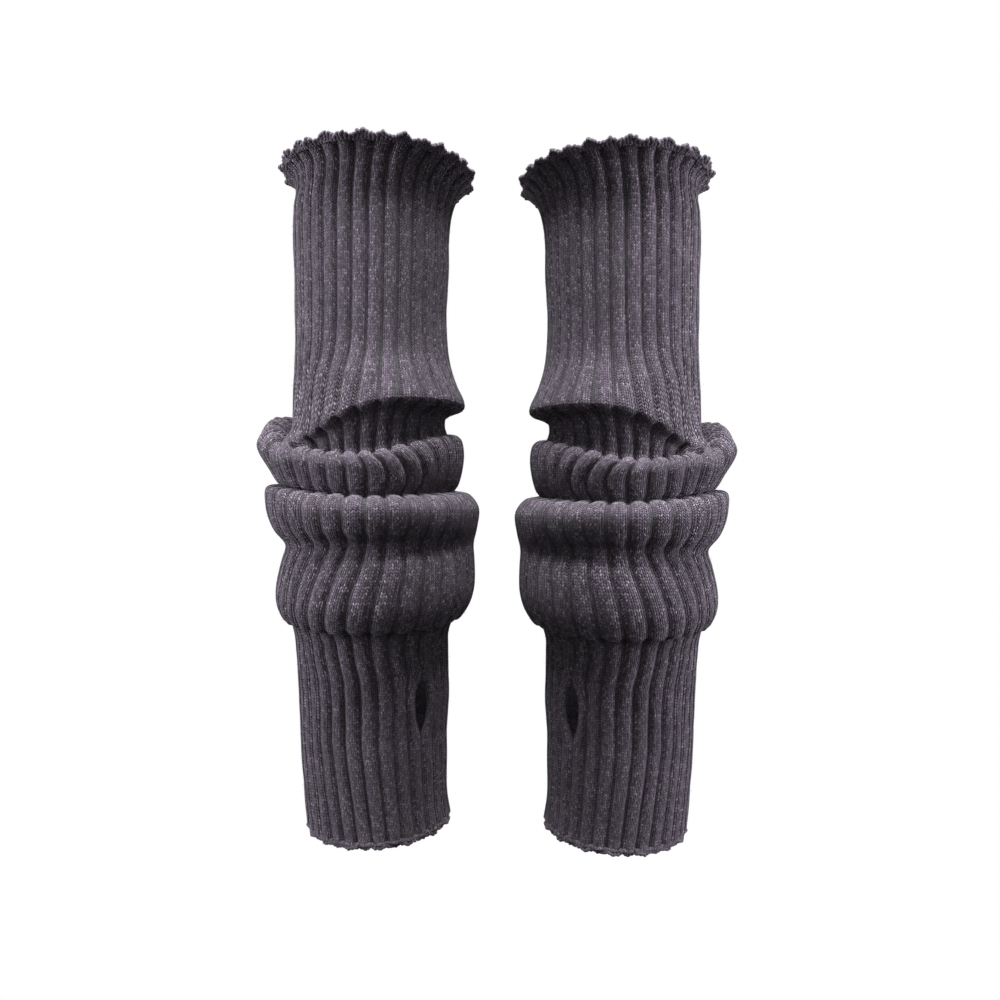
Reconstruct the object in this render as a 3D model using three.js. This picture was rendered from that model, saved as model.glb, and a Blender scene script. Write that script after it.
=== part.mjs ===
import * as THREE from 'three';

// A pair of ribbed knit wrist warmers standing as worn, each with three slouch folds,
// a flared beaded edge at the top, a small wavy edge at the hem and a slit for the thumb.
// Lengths are in millimetres, angles in degrees, +Z is up and the fronts face -Y.
// Each warmer is drawn about its own limb axis with z = 0 at the wrist, under the folds.
// Its angle is 0 at the front, 90 on the side toward its twin, 180 at the back
// and -90 on the outer side.

// placing of the pair
const AXIS_OUT = 68.75;
const STAGGER = 1.55;
const TURN_IN = 9.3;

// the thumb slit runs up one knitted column
const SLIT_AT = 38;

// the ridge that joins the skirt of the upper tube to the big roll
const RIDGE_AT = -60;
const RIDGE_WIDE = 10;

// the knitted edgings
const SEAM_GAP = 0.3;
const FRILL_STEPS = 56;
const TOP_FRILL = { deep: 3.6, wall: 2, wave: 0.9 };
const HEM_FRILL = { deep: 3.0, wall: 1.8, wave: 0.5 };

// angles at which each tube is sampled, closer together at the ridge and the slit
const COLUMNS = [
  -180, -163, -146, -129, -113, -98, -84, -72, -60, -48, -35, -20,
  -5, 10, 25, 38, 52, 66, 81, 96, 111, 128, 145, 162,
];

// one row for each section or fold of the cloth, from the rim down
// name, height, reach from the axis, lean of the axis, wall, half width of the slit
const SECTIONS = [
  ['rim', 250.8, 49, 0, 2, 0],
  ['flare', 246.6, 44.2, 0, 2, 0],
  ['neck', 240, 41.8, 0, 2, 0],
  ['shoulder', 228, 41.2, 0, 2, 0],
  ['sleeve', 200, 41, 0.3, 2, 0],
  ['forearm', 168, 40.2, 0, 2, 0],
  ['gather', 150, 40.4, 0, 2, 0],
  ['skirt', 138, 40.6, 0, 2, 0],
  ['lip', 128.6, 40.8, 0, 1.8, 0],
  ['lip_turn', 125.2, 40.8, 0, 1.6, 0],
  ['lip_under', 123.7, 40.6, 0, 1.6, 0],
  ['recess_top', 120.8, 40, 0, 1.8, 0],
  ['recess', 114, 39.8, 0, 1.8, 0],
  ['recess_low', 110.4, 41.6, 0, 1.4, 0],
  ['roll_in', 110.6, 45.2, 0, 1.4, 0],
  ['roll_top', 108.6, 48.3, 0, 1.8, 0],
  ['roll_face', 101, 49.8, 0, 2, 0],
  ['roll_low', 90, 48.8, 0, 2, 0],
  ['roll_under', 83.5, 46.8, 0, 1.8, 0],
  ['pinch', 80.4, 44.6, 0, 1.4, 0],
  ['fold_in', 79.8, 48.4, 0, 1.6, 0],
  ['fold_top', 78.6, 53, 0, 1.8, 0],
  ['fold_face', 71, 57.4, 0, 2, 0],
  ['fold_low', 60, 55.5, 0, 2, 0],
  ['waist', 51, 50.5, 0, 2, 0],
  ['bulge_top', 42, 53.5, 0, 2, 0],
  ['bulge_face', 27, 54.6, 0, 2, 0],
  ['bulge_low', 16, 52.8, 0, 2, 0],
  ['bulge_edge', 9.2, 49.2, 0, 1.8, 0],
  ['tuck', 9.6, 44.4, 0.4, 1.6, 0],
  ['cuff_top', 4, 40.9, 0.6, 1.8, 0],
  ['cuff', -6, 40.2, 0.8, 2, 0],
  ['slit_top', -16, 40.1, 1.2, 2, 0],
  ['slit_upper', -21.5, 40, 1.5, 2, 2.9],
  ['slit_wide', -28, 39.8, 1.8, 2, 4.2],
  ['slit_mid', -35, 39.6, 1.8, 2, 3.8],
  ['slit_lower', -41.5, 39.3, 1.7, 2, 2.2],
  ['slit_foot', -47, 39.1, 1.6, 2, 0],
  ['thumb', -60, 38.8, 1.6, 2, 0],
  ['hand', -86, 37.9, 2.2, 2, 0],
  ['hem', -98.3, 37.8, 2.6, 2, 0],
];

// where a section leaves its round ring: angle, width, lift, push
const LOBES = {
  rim: [[90, 70, 0, 4.6], [-90, 60, 0, -3.4]],
  flare: [[90, 70, 0, 4.6], [-90, 60, 0, -3.8]],
  neck: [[90, 70, 0, 3.6], [-90, 60, 0, -2.2]],
  shoulder: [[90, 70, 0, 1.2]],
  gather: [[70, 60, 0, 2]],
  skirt: [[50, 75, 0, 6]],
  lip: [[45, 85, 0, 9.2], [-60, 42, -21, 0], [90, 40, 0, 1.6]],
  lip_turn: [[45, 85, 0, 9.4], [-60, 42, -20, 0], [90, 40, 0, 1.6]],
  lip_under: [[45, 85, 0, 5.4], [-60, 42, -19.5, 0], [90, 40, 0, 1]],
  recess_top: [[-60, 42, -18.5, 0]],
  recess: [[-15, 60, -9, 0], [-66, 34, -7, 0], [-130, 40, -5, 0]],
  recess_low: [[-15, 55, -12, 0], [-72, 26, -5, 0], [-120, 30, -2.5, 1]],
  roll_in: [[-15, 55, -12.5, 0], [-125, 42, 9, 5.5], [-66, 18, -3, 0.8]],
  roll_top: [[-15, 55, -12, 0], [-123, 42, 14.5, 10], [-66, 18, -1.6, 0.6]],
  roll_face: [[-15, 55, -8, 0], [-105, 45, 6, 12]],
  roll_low: [[-15, 60, -3, 0], [-100, 45, 2, 5.2]],
  roll_under: [[-15, 70, -3, 0], [-100, 50, 1.5, 1.8]],
  pinch: [[0, 70, -3, 0], [-90, 50, 3.5, 0.5]],
  fold_in: [[0, 70, -3.5, 0], [-90, 50, 3.8, 1.4]],
  fold_top: [[0, 70, -3, 0], [-90, 50, 3.6, 2.2]],
  fold_face: [[-90, 55, 0, -2.2], [90, 50, 0, 0.6]],
  fold_low: [[-90, 55, 0, -4], [90, 50, 0, 1.8]],
  waist: [[90, 50, 0, 5.2], [-90, 55, 0, -5.3], [5, 42, 2, -2.6]],
  bulge_top: [[90, 50, 0, 2.3], [-90, 55, 0, -6.2]],
  bulge_face: [[90, 50, 0, 1], [-90, 55, 0, -4.5]],
  bulge_low: [[90, 50, 2.6, 0.4], [-90, 55, 2.6, -3.4]],
  bulge_edge: [[90, 50, 3.2, -0.6], [-90, 55, 3.2, -3.2]],
  tuck: [[90, 50, 1.8, 0], [-90, 55, 1.8, -1]],
  thumb: [[-90, 60, 0, -0.4]],
  hand: [[-90, 60, 0, -0.8], [90, 45, 0, 0.6]],
  hem: [[-90, 60, 0, -1.4], [80, 45, 1.2, 1.8]],
};

// the sections as they run down the ridge: height, reach
const RIDGE = {
  skirt: [128, 41],
  lip: [110, 45.6],
  lip_turn: [107.4, 47.6],
  lip_under: [105.9, 48.9],
  recess_top: [104.6, 50],
  recess: [103.4, 51],
  recess_low: [102.3, 51.9],
  roll_in: [101.2, 52.7],
  roll_top: [99.8, 53.4],
  roll_face: [95, 53.8],
  roll_low: [88, 51.2],
};

const CLOTH = { color: 0x4c444d, roughness: 0.95, metalness: 0 };
const EDGING = { color: 0x463f48, roughness: 0.95, metalness: 0 };

const rad = (degrees) => (degrees * Math.PI) / 180;

function lobe(angle, at, wide, power) {
  const away = ((((angle - at + 180) % 360) + 360) % 360) - 180;
  return Math.exp(-Math.pow(Math.abs(away / wide), power));
}

// a point of the outer face on a section's ring
function ringPoint(row, angle) {
  const [name, height, reach, lean] = SECTIONS[row];
  let z = height;
  let r = reach;
  for (const [at, wide, lift, push] of LOBES[name] || []) {
    const share = lobe(angle, at, wide, 2);
    z += lift * share;
    r += push * share;
  }
  if (RIDGE[name]) {
    const share = lobe(angle, RIDGE_AT, RIDGE_WIDE, 4);
    z += (RIDGE[name][0] - z) * share;
    r += (RIDGE[name][1] - r) * share;
  }
  const a = rad(angle);
  return new THREE.Vector3(lean + r * Math.sin(a), -r * Math.cos(a), z);
}

// the way the cloth runs down through a section
function runDown(row, angle) {
  const here = ringPoint(row, angle);
  const way = new THREE.Vector3();
  if (row > 0) {
    way.add(here.clone().sub(ringPoint(row - 1, angle)).normalize());
  }
  if (row < SECTIONS.length - 1) {
    way.add(ringPoint(row + 1, angle).sub(here).normalize());
  }
  return way.normalize();
}

// the outward direction of the cloth
function outward(row, angle) {
  const across = ringPoint(row, angle + 2).sub(ringPoint(row, angle - 2));
  return across.cross(runDown(row, angle)).normalize().negate();
}

// a mesh maker that shares equal points
function makeMesher() {
  const points = [];
  const faces = [];
  const seen = new Map();
  const point = (v) => {
    const key = [v.x, v.y, v.z].map((n) => Math.round(n * 1e4)).join(' ');
    if (!seen.has(key)) {
      seen.set(key, points.length / 3);
      points.push(v.x, v.y, v.z);
    }
    return seen.get(key);
  };
  const face = (a, b, c) => {
    if (a !== b && b !== c && c !== a) {
      faces.push(a, b, c);
    }
  };
  const quad = (p, q, r, s) => {
    const [a, b, c, d] = [p, q, r, s].map(point);
    face(a, b, c);
    face(a, c, d);
  };
  const geometry = () => {
    const made = new THREE.BufferGeometry();
    made.setAttribute('position', new THREE.Float32BufferAttribute(points, 3));
    made.setIndex(faces);
    made.computeVertexNormals();
    return made;
  };
  return { quad, geometry };
}

// both faces of the cloth at one section and angle; the slit parts its own column
function layers(row, angle, slitSide) {
  const out = ringPoint(row, angle);
  const normal = outward(row, angle);
  const wall = SECTIONS[row][4];
  const half = SECTIONS[row][5];
  if (angle === SLIT_AT && half > 0) {
    const a = rad(angle);
    out.x += slitSide * half * Math.cos(a);
    out.y += slitSide * half * Math.sin(a);
  }
  return { out, into: out.clone().addScaledVector(normal, -wall) };
}

function tubeGeometry() {
  const mesher = makeMesher();
  const last = SECTIONS.length - 1;
  const count = COLUMNS.length;
  for (let i = 0; i < count; i += 1) {
    const left = COLUMNS[i];
    const right = COLUMNS[(i + 1) % count];
    for (let k = 0; k < last; k += 1) {
      const a = layers(k, left, 1);
      const b = layers(k, right, -1);
      const c = layers(k + 1, right, -1);
      const d = layers(k + 1, left, 1);
      mesher.quad(a.out, d.out, c.out, b.out);
      mesher.quad(a.into, b.into, c.into, d.into);
    }
    closeEnd(mesher, 0, left, right, false);
    closeEnd(mesher, last, left, right, true);
  }
  closeSlit(mesher);
  return mesher.geometry();
}

function closeEnd(mesher, row, left, right, isHem) {
  const a = layers(row, left, 0);
  const b = layers(row, right, 0);
  if (isHem) {
    mesher.quad(a.out, a.into, b.into, b.out);
  } else {
    mesher.quad(a.out, b.out, b.into, a.into);
  }
}

function closeSlit(mesher) {
  for (let k = 0; k < SECTIONS.length - 1; k += 1) {
    if (SECTIONS[k][5] > 0 || SECTIONS[k + 1][5] > 0) {
      const topLeft = layers(k, SLIT_AT, -1);
      const lowLeft = layers(k + 1, SLIT_AT, -1);
      const topRight = layers(k, SLIT_AT, 1);
      const lowRight = layers(k + 1, SLIT_AT, 1);
      mesher.quad(topLeft.out, lowLeft.out, lowLeft.into, topLeft.into);
      mesher.quad(topRight.out, topRight.into, lowRight.into, lowRight.out);
    }
  }
}

// a knitted edging that carries on past the end of the tube, waving out and in
function frillGeometry(row, frill) {
  const mesher = makeMesher();
  const isHem = row > 0;
  const corner = (angle, step) => {
    const away = runDown(row, angle).multiplyScalar(isHem ? 1 : -1);
    const normal = outward(row, angle);
    const sway = step % 2 === 0 ? frill.wave : -frill.wave;
    const rootOut = ringPoint(row, angle).addScaledVector(away, SEAM_GAP);
    const tipOut = rootOut.clone().addScaledVector(away, frill.deep);
    tipOut.addScaledVector(normal, sway);
    const rootIn = rootOut.clone().addScaledVector(normal, -frill.wall);
    const tipIn = tipOut.clone().addScaledVector(normal, -frill.wall);
    return [rootOut, tipOut, tipIn, rootIn];
  };
  for (let i = 0; i < FRILL_STEPS; i += 1) {
    const next = (i + 1) % FRILL_STEPS;
    const here = corner((i * 360) / FRILL_STEPS, i);
    const there = corner((next * 360) / FRILL_STEPS, next);
    for (let side = 0; side < 4; side += 1) {
      const beside = (side + 1) % 4;
      if (isHem) {
        mesher.quad(here[side], here[beside], there[beside], there[side]);
      } else {
        mesher.quad(here[side], there[side], there[beside], here[beside]);
      }
    }
  }
  return mesher.geometry();
}

function cloth(name, geometry, look) {
  const mesh = new THREE.Mesh(geometry, new THREE.MeshStandardMaterial(look));
  mesh.name = name;
  return mesh;
}

// one warmer about its own axis, thumb slit toward +X
function warmer(side) {
  const group = new THREE.Group();
  group.name = `${side}_warmer`;
  group.add(cloth(`${side}_tube`, tubeGeometry(), CLOTH));
  group.add(cloth(`${side}_top_frill`, frillGeometry(0, TOP_FRILL), EDGING));
  group.add(cloth(`${side}_hem_frill`, frillGeometry(SECTIONS.length - 1, HEM_FRILL), EDGING));
  return group;
}

const left = warmer('left');
left.rotation.z = rad(TURN_IN);
left.position.set(-AXIS_OUT, 0, STAGGER);

// the right one is the mirror image of the left one
const right = warmer('right');
right.scale.x = -1;
right.rotation.z = rad(-TURN_IN);
right.position.set(AXIS_OUT, 0, -STAGGER);

const pair = new THREE.Group();
pair.name = 'wrist_warmers';
pair.add(left, right);

export default pair;
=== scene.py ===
import math
import random

import bpy
import numpy as np
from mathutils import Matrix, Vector

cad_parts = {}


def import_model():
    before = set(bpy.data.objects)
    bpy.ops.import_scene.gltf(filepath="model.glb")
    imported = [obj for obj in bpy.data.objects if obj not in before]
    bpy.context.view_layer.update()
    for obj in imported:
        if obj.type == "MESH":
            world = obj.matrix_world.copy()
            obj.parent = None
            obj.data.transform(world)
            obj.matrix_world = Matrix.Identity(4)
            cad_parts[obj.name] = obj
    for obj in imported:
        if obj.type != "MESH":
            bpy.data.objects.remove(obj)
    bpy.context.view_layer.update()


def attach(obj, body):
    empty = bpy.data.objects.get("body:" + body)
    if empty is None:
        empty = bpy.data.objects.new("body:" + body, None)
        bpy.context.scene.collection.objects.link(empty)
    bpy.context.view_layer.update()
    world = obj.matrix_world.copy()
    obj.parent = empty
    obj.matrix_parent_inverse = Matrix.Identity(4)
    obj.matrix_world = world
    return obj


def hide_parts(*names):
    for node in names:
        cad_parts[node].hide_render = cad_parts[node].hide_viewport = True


# A pair of ribbed knit wrist warmers, standing as worn.
# The tables give one warmer in millimetres about its own limb axis, z = 0 at the wrist.
# The angle is 0 at the front, 90 toward the other warmer, -90 on the outer side.

MM = 0.001

# the pair: each limb axis from the middle, half the difference in height, turn inward
AXIS_OUT = 68.75
STAGGER = 1.55
TURN_IN = 9.3

# the knit: a wale is one column of stitches, a course one row
RIBS = 32
WALES_PER_RIB = 5
COURSE = 1.5

# the mesh of the cloth: columns to a rib, the length of a row, the inner face's depth
STEPS_PER_RIB = 9
COLUMNS = RIBS * STEPS_PER_RIB
ROW_STEP = 1.5
LINING_DEPTH = 1.9

# a rib in section, as shares of its pitch and of its depth
GROOVE_HALF = 0.03
RIB_SHOULDER = 0.2
RIB_SIDE = 0.95
RIB_CROWN = 0.22
CROWN_WAVE = 1.1
RIB_SINK = 0.72
RIB_WAVER = 0.08
# its depth, full on the slim tube and less where the cloth is stretched round
FULL_DEPTH = 1.9
LEAST_DEPTH = 1.45
FULL_DEPTH_REACH = 41.0
STRETCH_LOSS = 0.8

# the slit lies where the ribs have swung back from this knitted angle
SLIT_KNIT = 41.2
# how far round it pushes the columns aside, in degrees, and its uneven edge
SLIT_SPREAD = 11
SLIT_JAG_ROUND = 0.8
SLIT_JAG_UP = 0.3

# the ridge of cloth that runs down from the lip to the first fold
RIDGE_AT = -60
RIDGE_WIDE = 10
RIDGE_POWER = 4

# name, height, reach, lean, half width of the slit
SECTIONS = [
    ["rim", 250.8, 49, 0, 0],
    ["flare", 246.6, 44.2, 0, 0],
    ["neck", 240, 41.8, 0, 0],
    ["shoulder", 228, 41.2, 0, 0],
    ["sleeve", 200, 41, 0.3, 0],
    ["forearm", 168, 40.2, 0, 0],
    ["gather", 150, 40.4, 0, 0],
    ["skirt", 138, 40.6, 0, 0],
    ["lip", 128.6, 40.8, 0, 0],
    ["lip_turn", 125.2, 40.8, 0, 0],
    ["lip_under", 123.7, 40.6, 0, 0],
    ["recess_top", 120.8, 40, 0, 0],
    ["recess", 114, 39.8, 0, 0],
    ["recess_low", 110.4, 41.6, 0, 0],
    ["roll_in", 110.6, 45.2, 0, 0],
    ["roll_top", 108.6, 48.3, 0, 0],
    ["roll_face", 101, 49.8, 0, 0],
    ["roll_low", 90, 48.8, 0, 0],
    ["roll_under", 83.5, 46.8, 0, 0],
    ["pinch", 80.4, 44.6, 0, 0],
    ["fold_in", 79.8, 48.4, 0, 0],
    ["fold_top", 78.6, 53, 0, 0],
    ["fold_face", 71, 57.4, 0, 0],
    ["fold_low", 60, 55.5, 0, 0],
    ["waist", 51, 50.5, 0, 0],
    ["bulge_top", 42, 53.5, 0, 0],
    ["bulge_face", 27, 54.6, 0, 0],
    ["bulge_low", 16, 52.8, 0, 0],
    ["bulge_edge", 9.2, 49.2, 0, 0],
    ["tuck", 9.6, 44.4, 0.4, 0],
    ["cuff_top", 4, 40.9, 0.6, 0],
    ["cuff", -6, 40.2, 0.8, 0],
    ["slit_top", -16, 40.1, 1.2, 0],
    ["slit_upper", -21.5, 40, 1.5, 2.9],
    ["slit_wide", -28, 39.8, 1.8, 4.2],
    ["slit_mid", -35, 39.6, 1.8, 3.8],
    ["slit_lower", -41.5, 39.3, 1.7, 2.2],
    ["slit_foot", -47, 39.1, 1.6, 0],
    ["thumb", -60, 38.8, 1.6, 0],
    ["hand", -86, 37.9, 2.2, 0],
    ["hem", -98.3, 37.8, 2.6, 0],
]

# where a section leaves its round ring: angle, width, lift, push
LOBES = {
    "rim": [[90, 70, 0, 4.6], [-90, 60, 0, -3.4]],
    "flare": [[90, 70, 0, 4.6], [-90, 60, 0, -3.8]],
    "neck": [[90, 70, 0, 3.6], [-90, 60, 0, -2.2]],
    "shoulder": [[90, 70, 0, 1.2]],
    "gather": [[70, 60, 0, 2]],
    "skirt": [[50, 75, 0, 6]],
    "lip": [[45, 85, 0, 9.2], [-60, 42, -21, 0], [90, 40, 0, 1.6]],
    "lip_turn": [[45, 85, 0, 9.4], [-60, 42, -20, 0], [90, 40, 0, 1.6]],
    "lip_under": [[45, 85, 0, 5.4], [-60, 42, -19.5, 0], [90, 40, 0, 1]],
    "recess_top": [[-60, 42, -18.5, 0]],
    "recess": [[-15, 60, -9, 0], [-66, 34, -7, 0], [-130, 40, -5, 0]],
    "recess_low": [[-15, 55, -12, 0], [-72, 26, -5, 0], [-120, 30, -2.5, 1]],
    "roll_in": [[-15, 55, -12.5, 0], [-125, 42, 9, 5.5], [-66, 18, -3, 0.8]],
    "roll_top": [[-15, 55, -12, 0], [-123, 42, 14.5, 10], [-66, 18, -1.6, 0.6]],
    "roll_face": [[-15, 55, -8, 0], [-105, 45, 6, 12]],
    "roll_low": [[-15, 60, -3, 0], [-100, 45, 2, 5.2]],
    "roll_under": [[-15, 70, -3, 0], [-100, 50, 1.5, 1.8]],
    "pinch": [[0, 70, -3, 0], [-90, 50, 3.5, 0.5]],
    "fold_in": [[0, 70, -3.5, 0], [-90, 50, 3.8, 1.4]],
    "fold_top": [[0, 70, -3, 0], [-90, 50, 3.6, 2.2]],
    "fold_face": [[-90, 55, 0, -2.2], [90, 50, 0, 0.6]],
    "fold_low": [[-90, 55, 0, -4], [90, 50, 0, 1.8]],
    "waist": [[90, 50, 0, 5.2], [-90, 55, 0, -5.3], [5, 42, 2, -2.6]],
    "bulge_top": [[90, 50, 0, 2.3], [-90, 55, 0, -6.2]],
    "bulge_face": [[90, 50, 0, 1], [-90, 55, 0, -4.5]],
    "bulge_low": [[90, 50, 2.6, 0.4], [-90, 55, 2.6, -3.4]],
    "bulge_edge": [[90, 50, 3.2, -0.6], [-90, 55, 3.2, -3.2]],
    "tuck": [[90, 50, 1.8, 0], [-90, 55, 1.8, -1]],
    "thumb": [[-90, 60, 0, -0.4]],
    "hand": [[-90, 60, 0, -0.8], [90, 45, 0, 0.6]],
    "hem": [[-90, 60, 0, -1.4], [80, 45, 1.2, 1.8]],
}

# the sections as they run down the ridge: height, reach
RIDGE = {
    "skirt": [128, 41],
    "lip": [110, 45.6],
    "lip_turn": [107.4, 47.6],
    "lip_under": [105.9, 48.9],
    "recess_top": [104.6, 50],
    "recess": [103.4, 51],
    "recess_low": [102.3, 51.9],
    "roll_in": [101.2, 52.7],
    "roll_top": [99.8, 53.4],
    "roll_face": [95, 53.8],
    "roll_low": [88, 51.2],
}

# how far the ribs swing round at a section: all of them, then angle, width and swing of each lobe
SWAY = {
    "rim": [5],
    "flare": [4],
    "neck": [2.5],
    "shoulder": [1],
    "gather": [-0.5, [-35, 45, -1]],
    "skirt": [-1, [-35, 45, -4], [45, 30, 1.5]],
    "lip": [-1, [-35, 45, -8], [45, 30, 3]],
    "lip_turn": [-1, [-35, 45, -9], [45, 30, 3]],
    "lip_under": [-1, [-35, 45, -9], [45, 30, 3]],
    "recess_top": [-1, [-35, 45, -8], [45, 30, 2]],
    "recess": [-1, [-35, 45, -5], [20, 30, -3]],
    "recess_low": [-1, [-35, 45, -3], [20, 30, -5]],
    "roll_in": [-1, [-35, 45, -2], [20, 30, -6]],
    "roll_top": [-1, [-35, 45, -2], [20, 30, -6]],
    "roll_face": [0, [-35, 45, -1], [22, 26, -2]],
    "roll_low": [0, [-35, 45, -1], [22, 26, 3]],
    "roll_under": [0, [-35, 45, -1], [22, 26, 3]],
    "bulge_top": [0, [-22, 48, -3]],
    "bulge_face": [0, [-22, 48, -9]],
    "bulge_low": [0, [-22, 48, -12]],
    "bulge_edge": [-1, [-22, 48, -12]],
    "tuck": [-2, [-22, 48, -12]],
    "cuff_top": [-3, [-22, 48, -10]],
    "cuff": [-3, [-22, 48, -8]],
    "slit_top": [-2, [-22, 48, -6]],
    "slit_upper": [-2, [-22, 48, -6]],
    "slit_wide": [-2, [-22, 48, -6]],
    "slit_mid": [-2, [-22, 48, -6]],
    "slit_lower": [-2, [-22, 48, -6]],
    "slit_foot": [-2, [-22, 48, -6]],
    "thumb": [-1, [-22, 48, -5]],
    "hand": [1, [-22, 48, -3]],
    "hem": [2, [-22, 48, -2]],
}

TOP_EDGE = {
    "name": "top", "section": 0, "beside": 1, "seed": 41,
    "knot": 1.45, "out": 1.5, "wave": 1.2, "uneven": 0.25,
}
HEM_EDGE = {
    "name": "hem", "section": -1, "beside": -2, "seed": 67,
    "knot": 1.2, "out": 1.2, "wave": 0.55, "uneven": 0.25,
}
# the knots of one wale, from the cloth to the picot at the tip: share of the reach, size, length
KNOTS = ((0.15, 0.95, 1.05), (0.55, 0.85, 1.05), (1.0, 1.1, 0.8))
KNOT_RINGS = 7
KNOT_SIDES = 9
KNOT_DEPTH = 0.95
# how far a knot sits back into the cloth, along it and inward
KNOT_SUNK_ALONG = 0.3
KNOT_SUNK_IN = 0.6
WAVE_FROM_WALE = 3
WAVE_GAIN = 1.6

# loose hairs on each warmer, rooted a little below the rib's face
FIBRES = 3600
FIBRE_SEED = 5
FIBRE_ROOT = 0.15
FIBRE_BEND = 0.62
FIBRE_TAPER = 0.75


def lobe(angle, at, wide, power=2):
    """1 at an angle, falling to nothing on both sides of it."""
    away = (angle - at + 180) % 360 - 180
    return np.exp(-np.abs(away / wide) ** power)


def ring(index, angle):
    """The points of one section at the given angles."""
    name, height, reach, lean, _ = SECTIONS[index]
    z = np.full(angle.shape, float(height))
    r = np.full(angle.shape, float(reach))
    for at, wide, lift, push in LOBES.get(name, []):
        share = lobe(angle, at, wide)
        z += lift * share
        r += push * share
    if name in RIDGE:
        share = lobe(angle, RIDGE_AT, RIDGE_WIDE, RIDGE_POWER)
        z += (RIDGE[name][0] - z) * share
        r += (RIDGE[name][1] - r) * share
    a = np.radians(angle)
    return np.stack([lean + r * np.sin(a), -r * np.cos(a), z], axis=-1)


def swung(index, angle):
    """Where the ribs at these knitted angles stand on a section."""
    base, *swings = SWAY.get(SECTIONS[index][0], [0])
    out = angle + base
    for at, wide, swing in swings:
        out = out + swing * lobe(angle, at, wide)
    return out


def spline_rows(knots, steps):
    """A centripetal curve through the knots, with so many steps from each to the next."""
    before, after = 2 * knots[:1] - knots[1:2], 2 * knots[-1:] - knots[-2:-1]
    ends = np.concatenate([before, knots, after])

    def span(a, b):
        return np.maximum(np.linalg.norm(b - a, axis=-1, keepdims=True), 1e-6) ** 0.5

    rows = []
    for k, count in enumerate(steps):
        p0, p1, p2, p3 = ends[k : k + 4]
        t1 = span(p0, p1)
        t2 = t1 + span(p1, p2)
        t3 = t2 + span(p2, p3)
        for i in range(count):
            t = t1 + (t2 - t1) * i / count
            a1 = (t1 - t) / t1 * p0 + t / t1 * p1
            a2 = (t2 - t) / (t2 - t1) * p1 + (t - t1) / (t2 - t1) * p2
            a3 = (t3 - t) / (t3 - t2) * p2 + (t - t2) / (t3 - t2) * p3
            b1 = (t2 - t) / t2 * a1 + t / t2 * a2
            b2 = (t3 - t) / (t3 - t1) * a2 + (t - t1) / (t3 - t1) * a3
            rows.append((t2 - t) / (t2 - t1) * b1 + (t - t1) / (t2 - t1) * b2)
    rows.append(knots[-1])
    return np.array(rows)


def section_row(name):
    """Where a section stands in the table."""
    return [section[0] for section in SECTIONS].index(name)


def cloth_grid():
    """The smooth cloth: rows down the tube, columns round it from the slit back to the slit."""
    turn = np.arange(COLUMNS + 1) * 360 / COLUMNS
    knit = SLIT_KNIT + turn
    knots = []
    for k, section in enumerate(SECTIONS):
        angle = swung(k, knit)
        half = math.degrees(section[4] / section[2])
        angle = angle + half * np.exp(-((turn / SLIT_SPREAD) ** 2))
        angle = angle - half * np.exp(-(((360 - turn) / SLIT_SPREAD) ** 2))
        knots.append(ring(k, angle))
    knots = np.array(knots)
    gaps = np.linalg.norm(np.diff(knots, axis=0), axis=-1).mean(axis=1)
    steps = [max(2, 2 * int(round(g / ROW_STEP / 2))) for g in gaps]
    rows = spline_rows(knots, steps)
    starts = np.concatenate([[0], np.cumsum(steps)])
    return rows, starts


def normals_of(grid):
    """The way out of the cloth at each of its points."""
    closed = np.concatenate([grid[:, -2:-1], grid, grid[:, 1:2]], axis=1)
    across = closed[:, 2:] - closed[:, :-2]
    down = np.gradient(grid, axis=0)
    n = -np.cross(across, down)
    return n / np.maximum(np.linalg.norm(n, axis=-1, keepdims=True), 1e-9)


def rib_relief(grid):
    """Height of the ribs over the smooth cloth; a stretched rib lies flatter."""
    turn = np.arange(COLUMNS + 1) / STEPS_PER_RIB
    place = turn % 1.0
    edge = np.minimum(place, 1 - place)
    rise = np.clip((edge - GROOVE_HALF) / RIB_SHOULDER, 0, 1)
    rise = rise * rise * (3 - 2 * rise)
    crown = RIB_CROWN * np.cos((place - 0.5) * 2 * np.pi / CROWN_WAVE)
    shape = rise * RIB_SIDE + crown * rise - RIB_SINK
    reach = np.hypot(grid[..., 0], grid[..., 1])
    depth = FULL_DEPTH * (FULL_DEPTH_REACH / reach) ** STRETCH_LOSS
    depth = np.clip(depth, LEAST_DEPTH, FULL_DEPTH)
    waver = RIB_WAVER * np.sin(grid[..., 2] * 0.19 + turn[None] * 2.1)
    return depth * (shape[None] + waver)


CLOCKWISE = ((0, 0), (1, 0), (1, 1), (0, 1))
COUNTER = ((0, 0), (0, 1), (1, 1), (1, 0))


def corners(grid, order):
    """The four corners of each cell of a grid, in one order."""
    rows, columns = grid.shape[:2]
    return [grid[r : rows - 1 + r, c : columns - 1 + c] for r, c in order]


def quads(ids, order):
    return np.stack(corners(ids, order), axis=-1).reshape(-1, 4)


def quad_uvs(uv, order):
    return np.stack(corners(uv, order), axis=2).reshape(-1, 2)


def numbered(grid, first, slit_top, slit_foot):
    """Point numbers of a grid whose last column is its first one, except where the slit is open."""
    ids = np.arange(grid[..., 0].size).reshape(grid.shape[:2]) + first
    ids[: slit_top + 1, -1] = ids[: slit_top + 1, 0]
    ids[slit_foot:, -1] = ids[slit_foot:, 0]
    return ids


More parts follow.
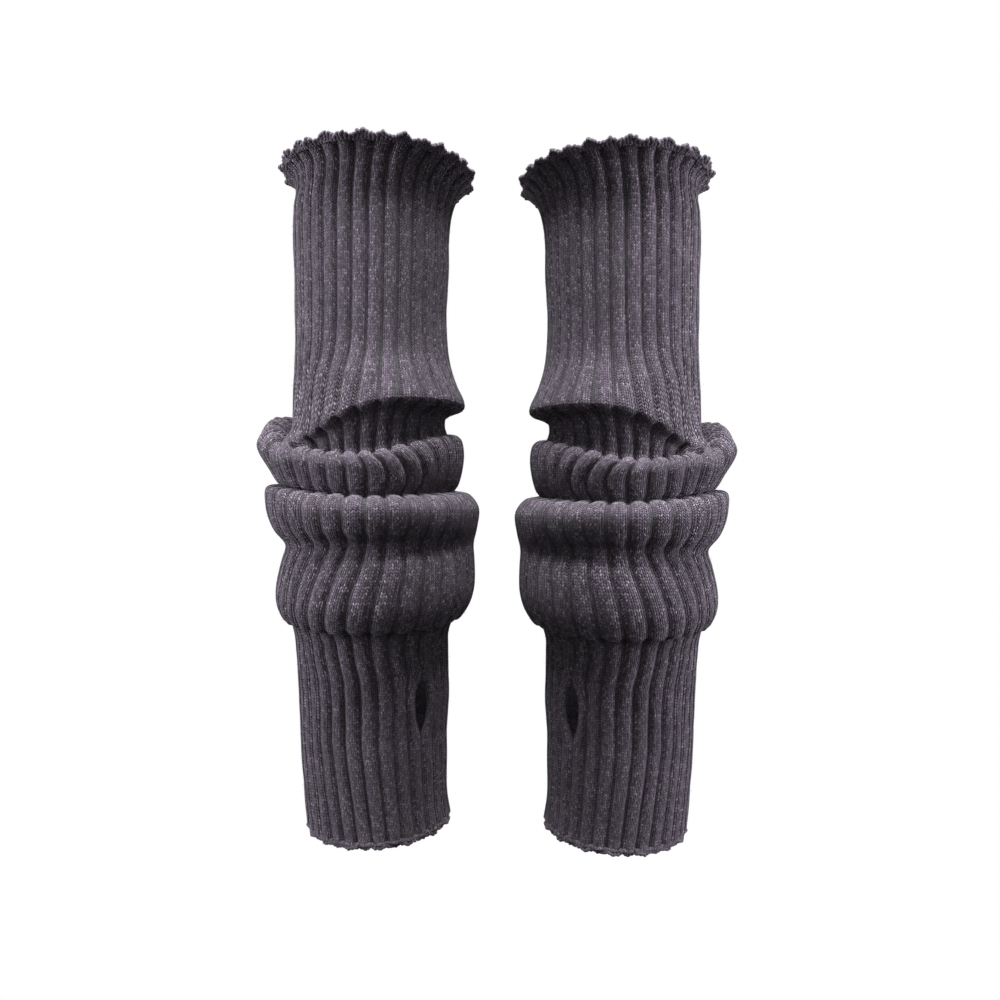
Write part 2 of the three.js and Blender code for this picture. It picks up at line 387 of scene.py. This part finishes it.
def make_mesh(name, points, faces, uvs, material, smooth=True):
    """A mesh object from points in millimetres."""
    mesh = bpy.data.meshes.new(name)
    counts = np.array([len(face) for face in faces])
    starts = np.concatenate([[0], np.cumsum(counts)[:-1]])
    flat = np.concatenate([np.asarray(face) for face in faces])
    mesh.vertices.add(len(points))
    mesh.vertices.foreach_set("co", (points * MM).astype(np.float32).ravel())
    mesh.loops.add(len(flat))
    mesh.loops.foreach_set("vertex_index", flat.astype(np.int32))
    mesh.polygons.add(len(counts))
    mesh.polygons.foreach_set("loop_start", starts.astype(np.int32))
    mesh.update(calc_edges=True)
    if uvs is not None:
        layer = mesh.uv_layers.new(name="knit")
        layer.data.foreach_set("uv", uvs.astype(np.float32).ravel())
    mesh.validate()
    mesh.polygons.foreach_set("use_smooth", np.full(len(mesh.polygons), smooth))
    mesh.update()
    obj = bpy.data.objects.new(name, mesh)
    bpy.context.scene.collection.objects.link(obj)
    mesh.materials.append(material)
    return obj


def place(points, side):
    """From one warmer's own axis to the pair; the right one is mirrored."""
    sign = -1 if side == "left" else 1
    p = points.copy()
    if side == "right":
        p[:, 0] = -p[:, 0]
    turn = math.radians(-sign * TURN_IN)
    c, s = math.cos(turn), math.sin(turn)
    x = c * p[:, 0] - s * p[:, 1] + sign * AXIS_OUT
    y = s * p[:, 0] + c * p[:, 1]
    return np.stack([x, y, p[:, 2] - sign * STAGGER], axis=1)


def bridge(outer, inner):
    """Triangles from a fine line of points to one with half as many."""
    tris = []
    for i in range(len(inner) - 1):
        a, b, c = outer[2 * i], outer[2 * i + 1], outer[2 * i + 2]
        p, q = inner[i], inner[i + 1]
        for tri in ((a, b, p), (b, q, p), (b, c, q)):
            if len(set(tri)) == 3:
                tris.append(tri)
    return tris


def tube(side, material):
    """One ribbed tube: the knit outside, a plain face inside, closed at the ends and the slit."""
    grid, starts = cloth_grid()
    normal = normals_of(grid)
    slit_top = int(starts[section_row("slit_top")])
    slit_foot = int(starts[section_row("slit_foot")])
    outer = grid + normal * rib_relief(grid)[..., None]
    row = np.arange(slit_top + 1, slit_foot)
    jag = np.sin(row * 2.3) * 0.25 + np.sin(row * 0.9) * 0.2
    for column, sign in ((0, 1), (-1, -1)):
        outer[row, column, 0] += sign * jag * SLIT_JAG_ROUND
        outer[row, column, 2] += jag * SLIT_JAG_UP
    inner = (grid - normal * LINING_DEPTH)[::2, ::2]
    points = np.concatenate([outer.reshape(-1, 3), inner.reshape(-1, 3)])

    ids = numbered(outer, 0, slit_top, slit_foot)
    low = numbered(inner, outer[..., 0].size, slit_top // 2, slit_foot // 2)
    span = slice(slit_top, slit_foot + 1)
    half = slice(slit_top // 2, slit_foot // 2 + 1)
    closing = bridge(ids[0][::-1], low[0][::-1]) + bridge(ids[-1], low[-1])
    closing += bridge(ids[span, 0][::-1], low[half, 0][::-1]) + bridge(ids[span, -1], low[half, -1])
    faces = [*quads(ids, CLOCKWISE), *quads(low, COUNTER), *[np.array(tri) for tri in closing]]

    # the uv counts stitches: wales round the tube, courses down it
    steps = np.linalg.norm(np.diff(grid, axis=0), axis=-1).mean(axis=1)
    run = np.concatenate([[0], np.cumsum(steps)])
    wale = np.arange(COLUMNS + 1) / STEPS_PER_RIB * WALES_PER_RIB
    uv = np.stack(np.meshgrid(wale, -run / COURSE), axis=-1)
    no_uv = np.zeros((3 * len(closing), 2))
    uvs = np.concatenate([quad_uvs(uv, CLOCKWISE), quad_uvs(uv[::2, ::2], COUNTER), no_uv])
    if side == "right":
        ends = np.cumsum([len(face) for face in faces])[:-1]
        uvs = np.concatenate([part[::-1] for part in np.split(uvs, ends)])
        faces = [face[::-1] for face in faces]
    used = np.unique(np.concatenate(faces))
    index = np.full(len(points), -1)
    index[used] = np.arange(len(used))
    faces = [index[face] for face in faces]
    return make_mesh(f"{side}_knit_tube", place(points[used], side), faces, uvs, material)


def knot_shape():
    """A ball: its unit points and faces."""
    sides = KNOT_SIDES
    points = [(0, 0, 1)]
    for i in range(1, KNOT_RINGS):
        t = math.pi * i / KNOT_RINGS
        for j in range(sides):
            a = 2 * math.pi * j / sides
            points.append((math.sin(t) * math.cos(a), math.sin(t) * math.sin(a), math.cos(t)))
    points.append((0, 0, -1))
    last = len(points) - 1
    faces = [[0, 1 + j, 1 + (j + 1) % sides] for j in range(sides)]
    for i in range(KNOT_RINGS - 2):
        for j in range(sides):
            a = 1 + i * sides + j
            b = 1 + i * sides + (j + 1) % sides
            faces.append([a, a + sides, b + sides, b])
    for j in range(sides):
        faces.append([last, last - sides + (j + 1) % sides, last - sides + j])
    return np.array(points, float), faces


def edging(side, edge, material):
    """A short row of knots on each wale at the end of the tube, in small waves."""
    chance = random.Random(edge["seed"])
    count = RIBS * WALES_PER_RIB
    knit = np.arange(count) * 360 / count + SLIT_KNIT
    ends = ring(edge["section"], swung(edge["section"], knit))
    away = ends - ring(edge["beside"], swung(edge["beside"], knit))
    away /= np.linalg.norm(away, axis=1, keepdims=True)
    round_way = np.roll(ends, -1, axis=0) - np.roll(ends, 1, axis=0)
    round_way /= np.linalg.norm(round_way, axis=1, keepdims=True)
    out = np.cross(round_way, away)
    out *= np.sign((out * ends * [1, 1, 0]).sum(axis=1, keepdims=True))
    unit, unit_faces = knot_shape()
    points, faces, uvs, made = [], [], [], 0
    for i in range(count):
        crest = 0.5 + 0.5 * math.cos(2 * math.pi * (i + WAVE_FROM_WALE) / WALES_PER_RIB)
        sway = edge["wave"] * math.sin(2 * math.pi * i / (2 * WALES_PER_RIB))
        sway += chance.uniform(-1, 1) * edge["uneven"]
        reach = edge["out"] + edge["wave"] * crest * WAVE_GAIN
        reach += chance.uniform(-1, 1) * edge["uneven"]
        size = edge["knot"] * chance.uniform(0.9, 1.1)
        for step, scale, long in KNOTS:
            centre = ends[i] + away[i] * (reach * step - KNOT_SUNK_ALONG)
            centre = centre + out[i] * (sway * step - KNOT_SUNK_IN)
            centre = centre + round_way[i] * chance.uniform(-0.2, 0.2)
            twist = chance.uniform(-0.5, 0.5)
            lumps = 1 + 0.06 * np.sin(unit[:, 2] * 6 + unit[:, 0] * 5 + i)
            local = unit * lumps[:, None] * size * scale
            x = local[:, :1] * (1.0 + 0.1 * twist)
            y = local[:, 1:2] * KNOT_DEPTH
            z = local[:, 2:] * long + twist * x
            points.append(centre + x * round_way[i] + y * out[i] + z * away[i])
            faces.extend([[made + v for v in face] for face in unit_faces])
            spots = [v for face in unit_faces for v in face]
            uvs.extend([(unit[v, 0] * 1.5 + i, unit[v, 2] * 1.5) for v in spots])
            made += len(unit)
    if side == "right":
        faces = [face[::-1] for face in faces]
    points = place(np.concatenate(points), side)
    return make_mesh(f"{side}_{edge['name']}_beads", points, faces, np.array(uvs), material)


def fibres(side, material):
    """Short loose wool hairs standing a little off the cloth, as thin three-sided slivers."""
    grid, _ = cloth_grid()
    rng = np.random.default_rng(FIBRE_SEED)
    count = FIBRES
    row = rng.integers(1, grid.shape[0] - 2, count)
    column = rng.integers(0, COLUMNS, count)
    up = normals_of(grid)[row, column]
    relief = rib_relief(grid)[row, column][:, None]
    root = grid[row, column] + up * (relief - FIBRE_ROOT)
    side_way = grid[row, (column + 1) % COLUMNS] - grid[row, column]
    side_way /= np.linalg.norm(side_way, axis=1, keepdims=True)
    down = np.cross(side_way, up)
    spin = rng.uniform(0, 2 * np.pi, count)[:, None]
    lie = np.cos(spin) * side_way + np.sin(spin) * down
    long = rng.uniform(0.8, 3.2, count)[:, None] * rng.uniform(0.5, 1.0, count)[:, None]
    lift = rng.uniform(0.15, 0.9, count)[:, None]
    thick = rng.uniform(0.022, 0.045, count)[:, None]
    across = np.cross(lie, up)
    spots = []
    for share in (0.0, 0.5, 1.0):
        arch = math.sin(share * math.pi * FIBRE_BEND)
        middle = root + (lie * long * share + up * lift * long * arch)
        width = thick * (1.0 - FIBRE_TAPER * share)
        spots += [middle - across * width, middle + across * width, middle + up * width]
    points = place(np.stack(spots, axis=1).reshape(-1, 3), side)
    start = (np.arange(count) * len(spots))[:, None, None]
    walls = [
        [a + j, a + (j + 1) % 3, a + 3 + (j + 1) % 3, a + 3 + j]
        for a in (0, 3)
        for j in range(3)
    ]
    faces = (start + np.array(walls)[None]).reshape(-1, 4)
    uvs = np.tile([0.5, 0.5], (faces.size, 1))
    return make_mesh(f"{side}_fuzz", points, faces, uvs, material, smooth=False)


class Graph:
    """Short names for shader nodes."""

    def __init__(self, name):
        self.material = bpy.data.materials.new(name)
        self.material.use_nodes = True
        self.tree = self.material.node_tree
        self.tree.nodes.clear()
        self.output = self.tree.nodes.new("ShaderNodeOutputMaterial")

    def node(self, kind, **settings):
        made = self.tree.nodes.new(kind)
        for key, value in settings.items():
            setattr(made, key, value)
        return made

    def put(self, socket, value):
        if isinstance(value, bpy.types.NodeSocket):
            self.tree.links.new(value, socket)
        else:
            socket.default_value = value

    def math(self, operation, a, b=0.0, c=0.0):
        made = self.node("ShaderNodeMath", operation=operation)
        for socket, value in zip(made.inputs, (a, b, c)):
            self.put(socket, value)
        return made.outputs[0]

    def scaled(self, value, gain, floor):
        return self.math("ADD", self.math("MULTIPLY", value, gain), floor)

    def mix(self, share, a, b, blend="MIX"):
        made = self.node("ShaderNodeMix", data_type="RGBA", blend_type=blend)
        self.put(made.inputs[0], share)
        self.put(made.inputs[6], a)
        self.put(made.inputs[7], b)
        return made.outputs[2]

    def ramp(self, value, stops):
        made = self.node("ShaderNodeValToRGB")
        self.put(made.inputs[0], value)
        bar = made.color_ramp
        while len(bar.elements) < len(stops):
            bar.elements.new(0.5)
        for element, (at, color) in zip(bar.elements, stops):
            element.position = at
            element.color = color
        return made.outputs[0]


# the yarn's colours
PLUM = (0.062, 0.047, 0.067, 1)
INK = (0.013, 0.010, 0.014, 1)
SMOKE = (0.170, 0.148, 0.176, 1)
BARK = (0.062, 0.046, 0.036, 1)
MOSS = (0.052, 0.050, 0.036, 1)
VIOLET = (0.078, 0.052, 0.098, 1)
SHEEN_TINT = (0.75, 0.68, 0.8, 1)

STREAKS_TO_A_METRE = 620.0
DRIFTS_TO_A_METRE = 55.0
# how much a stitch lies in its own shade, and how its tone varies
STITCH_SHADE = {"power": 2.2, "gain": 2.15, "floor": 0.02}
GRAIN = {"gain": 1.9, "floor": 0.15}
# the purl columns: how fast the light comes back beside them, and how dark they are
GROOVE_SHADE = {"gain": 6.0, "floor": 0.18}
LEG_SLANT = 0.75
BUMP_DEPTH_M = 0.0013
STREAK_HEIGHT = 0.35


def grey(value):
    """A colour with no hue."""
    return (value, value, value, 1)


def noise(g, place_at, scale, detail):
    made = g.node("ShaderNodeTexNoise")
    g.put(made.inputs["Vector"], place_at)
    made.inputs["Scale"].default_value = scale
    made.inputs["Detail"].default_value = detail
    return made.outputs[0]


def wool(name, stitched):
    """Mixed wool yarn; the stitched kind is knitted in the ribs' wales and courses."""
    g = Graph(name)
    uv = g.node("ShaderNodeUVMap", uv_map="knit").outputs[0]
    parts = g.node("ShaderNodeSeparateXYZ")
    g.put(parts.inputs[0], uv)
    u, v = parts.outputs[0], parts.outputs[1]
    column = g.math("FRACT", u)
    off = g.math("MULTIPLY", g.math("ABSOLUTE", g.math("SUBTRACT", column, 0.5)), 2.0)
    climb = g.math("SUBTRACT", v, g.math("MULTIPLY", off, LEG_SLANT))
    leg = g.math("FRACT", climb)
    # one leg of a stitch: full in its middle, sunk at its ends and sides
    along = g.math("SINE", g.math("MULTIPLY", leg, math.pi))
    within = g.math("MINIMUM", g.math("MAXIMUM", off, 0.02), 0.98)
    across = g.math("SINE", g.math("MULTIPLY", within, math.pi))
    body = g.math("MULTIPLY", g.math("POWER", along, 0.6), g.math("POWER", across, 0.45))
    cell = g.node("ShaderNodeCombineXYZ")
    g.put(cell.inputs[0], g.math("FLOOR", g.math("MULTIPLY", u, 2.0)))
    g.put(cell.inputs[1], g.math("FLOOR", climb))
    chance = g.node("ShaderNodeTexWhiteNoise", noise_dimensions="3D")
    g.put(chance.inputs[0], cell.outputs[0])
    tone = chance.outputs[0]
    place_at = g.node("ShaderNodeTexCoord").outputs[3]
    streak = noise(g, place_at, STREAKS_TO_A_METRE, 4.0)
    drift = noise(g, place_at, DRIFTS_TO_A_METRE, 3.0)
    base = g.ramp(tone, [(0.0, INK), (0.3, PLUM), (0.6, VIOLET), (0.8, PLUM), (1.0, SMOKE)])
    hint = g.ramp(chance.outputs[1], [(0.0, BARK), (0.5, PLUM), (1.0, MOSS)])
    color = g.mix(0.35, base, hint)
    color = g.mix(0.15, color, PLUM)
    color = g.mix(g.ramp(streak, [(0.5, grey(0)), (0.72, grey(0.75))]), color, SMOKE)
    color = g.mix(g.ramp(drift, [(0.35, grey(0.45)), (0.62, grey(0))]), color, INK)
    if stitched:
        # the purl columns between the ribs lie in their own shade
        across_rib = g.math("FRACT", g.math("DIVIDE", u, float(WALES_PER_RIB)))
        from_groove = g.math("MINIMUM", across_rib, g.math("SUBTRACT", 1.0, across_rib))
        lit = g.math("MINIMUM", g.math("MULTIPLY", from_groove, GROOVE_SHADE["gain"]), 1.0)
        lit = g.scaled(lit, 1.0 - GROOVE_SHADE["floor"], GROOVE_SHADE["floor"])
        grain = g.scaled(tone, GRAIN["gain"], GRAIN["floor"])
        shade = g.math("POWER", body, STITCH_SHADE["power"])
        shade = g.scaled(shade, STITCH_SHADE["gain"], STITCH_SHADE["floor"])
        shade = g.math("MULTIPLY", g.math("MULTIPLY", shade, lit), grain)
        tint = g.node("ShaderNodeCombineColor")
        for socket in tint.inputs:
            g.put(socket, shade)
        color = g.mix(1.0, color, tint.outputs[0], "MULTIPLY")
    else:
        color = g.mix(0.15, color, INK)
    height = g.math("MULTIPLY", streak, STREAK_HEIGHT)
    if stitched:
        height = g.math("ADD", body, height)
    bump = g.node("ShaderNodeBump")
    bump.inputs["Strength"].default_value = 1.0
    bump.inputs["Distance"].default_value = BUMP_DEPTH_M
    g.put(bump.inputs["Height"], height)
    skin = g.node("ShaderNodeBsdfPrincipled")
    g.put(skin.inputs["Base Color"], color)
    skin.inputs["Roughness"].default_value = 0.95
    skin.inputs["Specular IOR Level"].default_value = 0.15
    skin.inputs["Sheen Weight"].default_value = 0.35
    skin.inputs["Sheen Roughness"].default_value = 0.55
    skin.inputs["Sheen Tint"].default_value = SHEEN_TINT
    g.put(skin.inputs["Normal"], bump.outputs[0])
    g.put(g.output.inputs[0], skin.outputs[0])
    return g.material


# lamps in metres: where, toward where, width and height, power, colour
SIDE_LAMP = ((0.66, -0.26, 0.24), (0.06, 0, 0.05), (0.3, 0.5), 6.6, (0.97, 0.96, 1.0))
OVERHEAD = ((0, -0.20, 0.86), (0, 0, 0.1), (0.6, 0.2), 21, (1, 1, 1))
FRONT_FILL = ((0, -0.80, 0.30), (0, 0, 0.08), (0.9, 0.3), 1.6, (1, 0.99, 1))
WORLD_LIGHT = 0.06

# the backdrop in millimetres
BACKDROP_Y = 900
BACKDROP_REACH = 3000

CAMERA_AT = (0.00165, -0.418, 0.07655)
CAMERA_LENS = 27.36
CAMERA_SENSOR = 36


def area_light(name, lamp, side=1):
    """A rectangular lamp; side -1 puts it on the other side of the pair."""
    at, toward, size, power, color = lamp
    data = bpy.data.lights.new(name, "AREA")
    data.shape = "RECTANGLE"
    data.size, data.size_y = size
    data.energy = power
    data.color = color
    obj = bpy.data.objects.new(name, data)
    bpy.context.scene.collection.objects.link(obj)
    obj.location = (side * at[0], at[1], at[2])
    way = Vector((side * toward[0], toward[1], toward[2])) - obj.location
    obj.rotation_euler = way.to_track_quat("-Z", "Y").to_euler()
    return obj


def backdrop():
    """White paper behind the pair."""
    g = Graph("white_paper")
    glow = g.node("ShaderNodeEmission")
    glow.inputs[0].default_value = (1, 1, 1, 1)
    glow.inputs[1].default_value = 1.0
    g.put(g.output.inputs[0], glow.outputs[0])
    spots = ((-1, -1), (1, -1), (1, 1), (-1, 1))
    points = [(x * BACKDROP_REACH, BACKDROP_Y, z * BACKDROP_REACH) for x, z in spots]
    points = np.array(points, float)
    return make_mesh("backdrop", points, [[0, 1, 2, 3]], None, g.material, smooth=False)


def light_and_camera(lit_pieces):
    """A lamp at the outer side of each warmer that lights only that one, and two for both."""
    scene = bpy.context.scene
    scene.view_settings.view_transform = "Standard"
    world = bpy.data.worlds.new("studio")
    world.use_nodes = True
    background = world.node_tree.nodes["Background"]
    background.inputs[0].default_value = (1, 1, 1, 1)
    background.inputs[1].default_value = WORLD_LIGHT
    scene.world = world
    for side, sign in (("left", -1), ("right", 1)):
        lamp = area_light(f"soft_{side}", SIDE_LAMP, sign)
        lit = bpy.data.collections.new(f"lit_from_{side}")
        for piece in lit_pieces[side]:
            lit.objects.link(piece)
        lamp.light_linking.receiver_collection = lit
    area_light("overhead", OVERHEAD)
    area_light("front_fill", FRONT_FILL)
    data = bpy.data.cameras.new("camera")
    data.sensor_width = CAMERA_SENSOR
    data.lens = CAMERA_LENS
    data.clip_start = 0.01
    camera = bpy.data.objects.new("camera", data)
    scene.collection.objects.link(camera)
    camera.location = CAMERA_AT
    camera.rotation_euler = (math.radians(90), 0, 0)
    scene.camera = camera


def main():
    """The two warmers, each piece attached to the root with its part in the model hidden, and the
    set that they stand in.
    """
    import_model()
    knit = wool("rib_wool", True)
    beads = wool("edging_wool", False)
    lit_pieces = {}
    for side in ("left", "right"):
        cloth = tube(side, knit)
        top = edging(side, TOP_EDGE, beads)
        hem = edging(side, HEM_EDGE, beads)
        fuzz = fibres(side, beads)
        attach(fuzz, "root")
        for piece, node, slot in (
            (cloth, f"{side}_tube", "rib_knit"),
            (top, f"{side}_top_frill", "beaded_edging"),
            (hem, f"{side}_hem_frill", "beaded_edging"),
        ):
            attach(piece, "root")
            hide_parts(node)
        lit_pieces[side] = (cloth, top, hem, fuzz)
    backdrop()
    light_and_camera(lit_pieces)


main()
